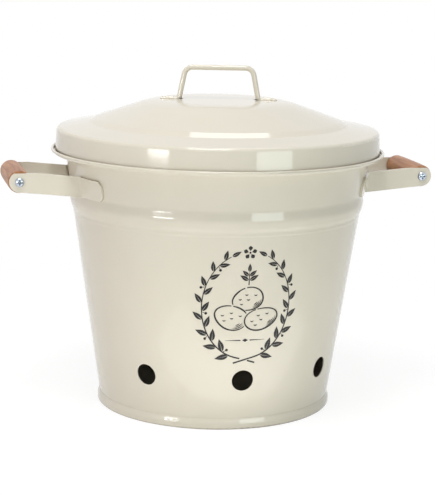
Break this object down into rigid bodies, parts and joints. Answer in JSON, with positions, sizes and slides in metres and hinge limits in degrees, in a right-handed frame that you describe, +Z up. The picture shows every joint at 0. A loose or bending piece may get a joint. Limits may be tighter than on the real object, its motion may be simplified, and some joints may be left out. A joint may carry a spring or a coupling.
{
  "type": "potato storage bin",
  "caption": "Tapered round steel storage bucket with vent holes, strap side handles with turned wooden grips, and a lift-off lid with a folding wire handle.",
  "frame": {"origin": "centre of the circular foot, on the surface the bin stands on", "axes": "+Z up, -Y the decorated front, +X through the right-hand side handle"},
  "size_m": [0.347, 0.27, 0.2759],
  "materials": {
    "cream_coat": "glossy powder coat",
    "turned_wood": "turned, thin satin lacquer",
    "zinc_plate": "bright zinc plate"
  },
  "bodies": {
    "bucket": {"bucket_wall": "cream_coat", "base_disc": "cream_coat", "left_grip": "turned_wood", "left_front_arm": "cream_coat", "left_front_screw": "zinc_plate", "left_rear_arm": "cream_coat", "left_rear_screw": "zinc_plate", "right_grip": "turned_wood", "right_front_arm": "cream_coat", "right_front_screw": "zinc_plate", "right_rear_arm": "cream_coat", "right_rear_screw": "zinc_plate"},
    "lid": {"lid_shell": "cream_coat"},
    "wire_handle": {"lid_handle": "cream_coat"}
  },
  "joints": [
    {"name": "lid_lift", "type": "slide", "parent": "bucket", "child": "lid", "axis": [0, 0, 1], "range_m": [0, 0.15]},
    {"name": "lid_handle_swing", "type": "hinge", "parent": "lid", "child": "wire_handle", "pos_m": [0, 0, 0.24784], "axis": [0.9763, -0.2164, 0], "range_deg": [-30, 30]}
  ]
}
